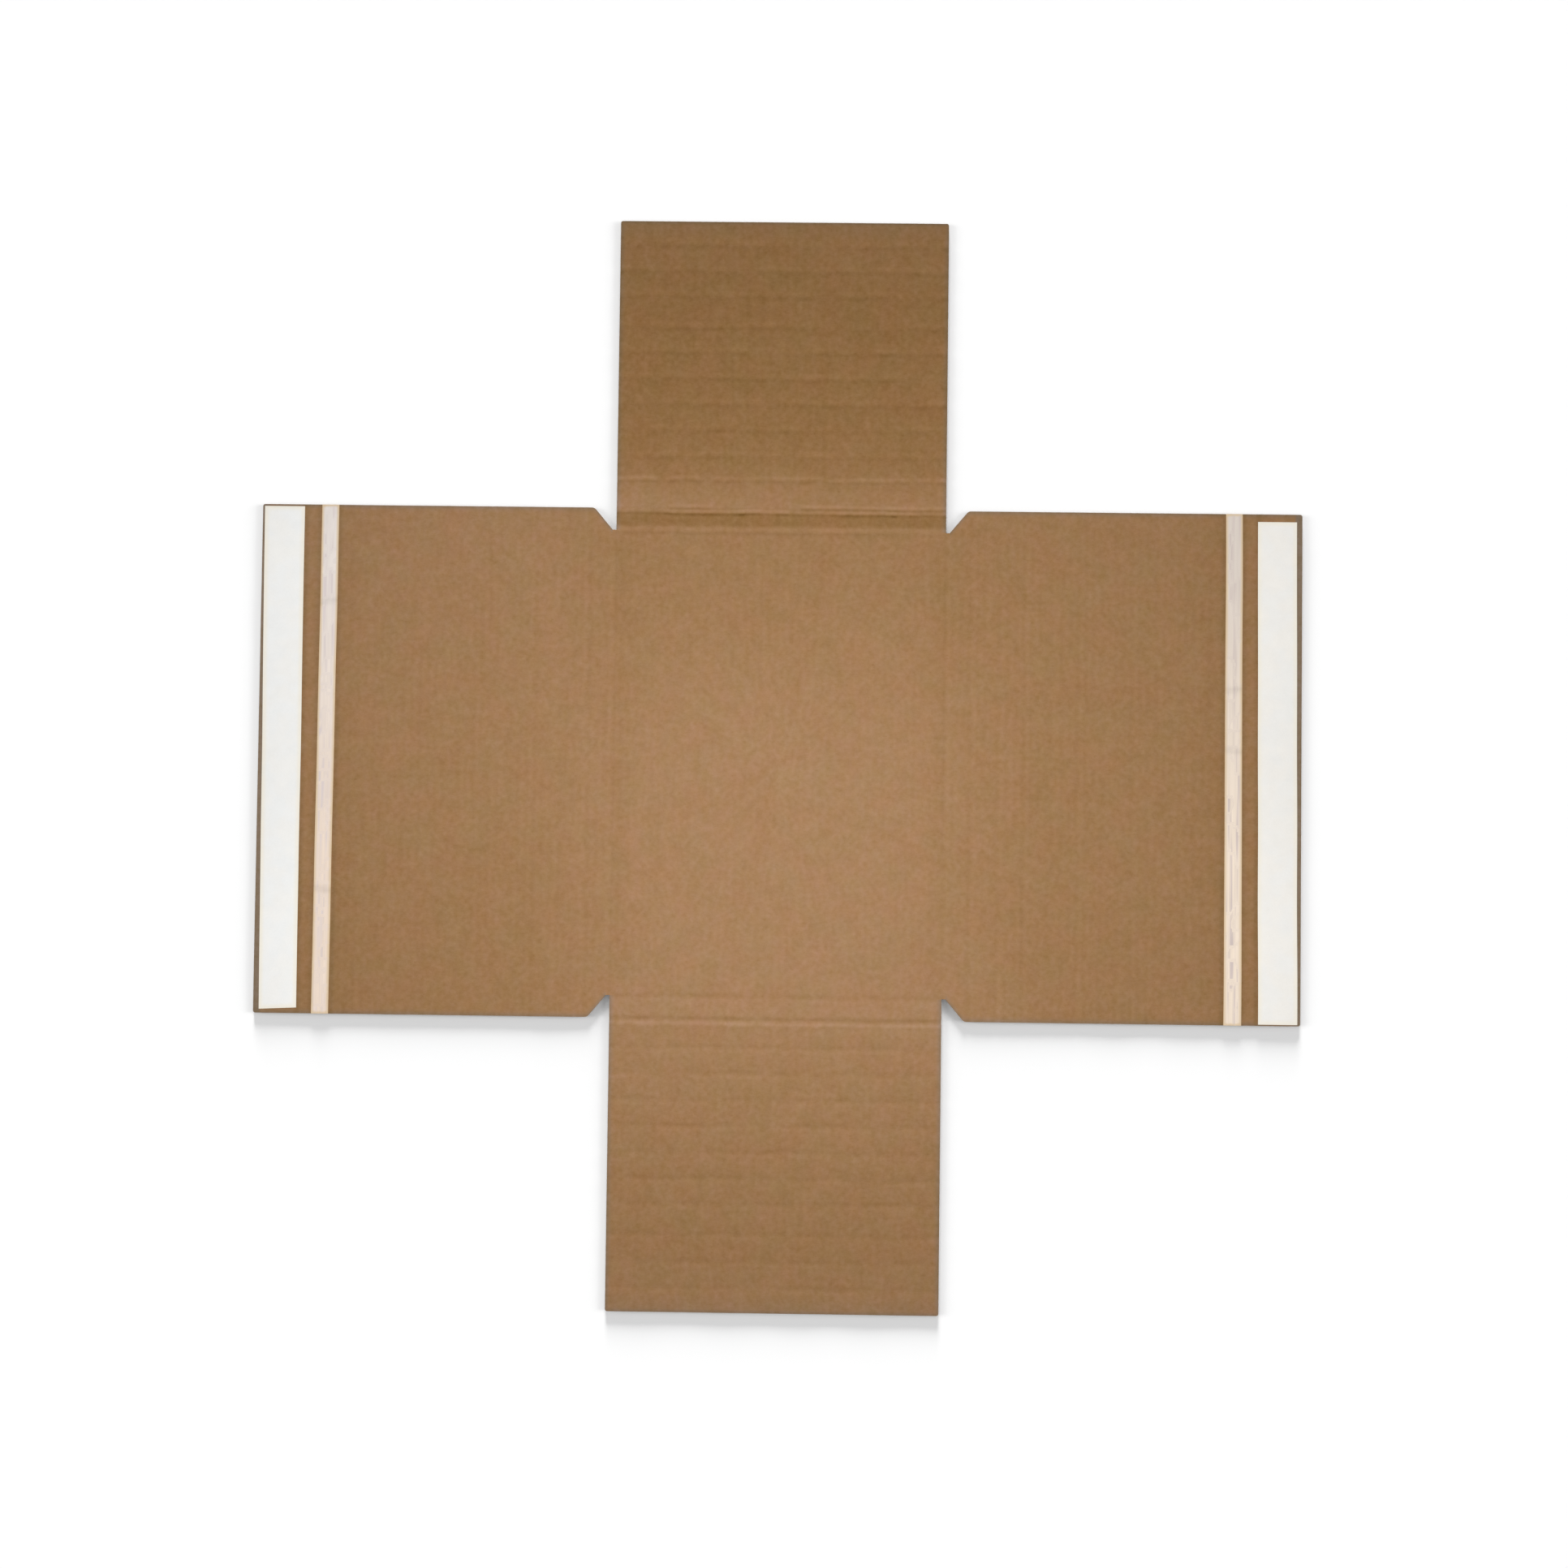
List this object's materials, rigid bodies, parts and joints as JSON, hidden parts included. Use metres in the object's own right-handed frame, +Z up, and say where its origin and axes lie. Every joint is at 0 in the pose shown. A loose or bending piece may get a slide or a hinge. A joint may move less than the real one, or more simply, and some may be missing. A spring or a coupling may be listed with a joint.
{
  "type": "flattened cardboard box",
  "caption": "Flat cross-shaped blank of a self-seal book wrap in fluted board, with hinged end and side flaps, peel-off seal strips and tear tapes.",
  "frame": {"origin": "under the middle of the base panel, on the face that the blank lies on", "axes": "+X to the right side flap, +Y along the flutes to the top end flap, +Z up out of the inner face"},
  "size_m": [0.47, 0.492, 0.0018],
  "materials": {
    "board": "matte brown kraft",
    "adhesive": "tacky, pale",
    "release_paper": "smooth white, silicone coated",
    "tear_film": "milky film with fine lengthwise threads"
  },
  "bodies": {
    "base": {"base_panel": "board"},
    "top_end": {"top_end_flap": "board"},
    "bottom_end": {"bottom_end_flap": "board"},
    "left_side": {"left_side_flap": "board", "left_adhesive_band": "adhesive", "left_release_liner": "release_paper", "left_tear_tape": "tear_film"},
    "right_side": {"right_side_flap": "board", "right_adhesive_band": "adhesive", "right_release_liner": "release_paper", "right_tear_tape": "tear_film"}
  },
  "joints": [
    {"name": "top_end_crease", "type": "hinge", "parent": "base", "child": "top_end", "pos_m": [0, 0.105, 0.00142], "axis": [1, 0, 0], "range_deg": [0, 90]},
    {"name": "bottom_end_crease", "type": "hinge", "parent": "base", "child": "bottom_end", "pos_m": [0, -0.105, 0.00142], "axis": [-1, 0, 0], "range_deg": [0, 90]},
    {"name": "left_side_crease", "type": "hinge", "parent": "base", "child": "left_side", "pos_m": [-0.075, 0, 0.00142], "axis": [0, 1, 0], "range_deg": [0, 90]},
    {"name": "right_side_crease", "type": "hinge", "parent": "base", "child": "right_side", "pos_m": [0.075, 0, 0.00142], "axis": [0, -1, 0], "range_deg": [0, 90]}
  ]
}
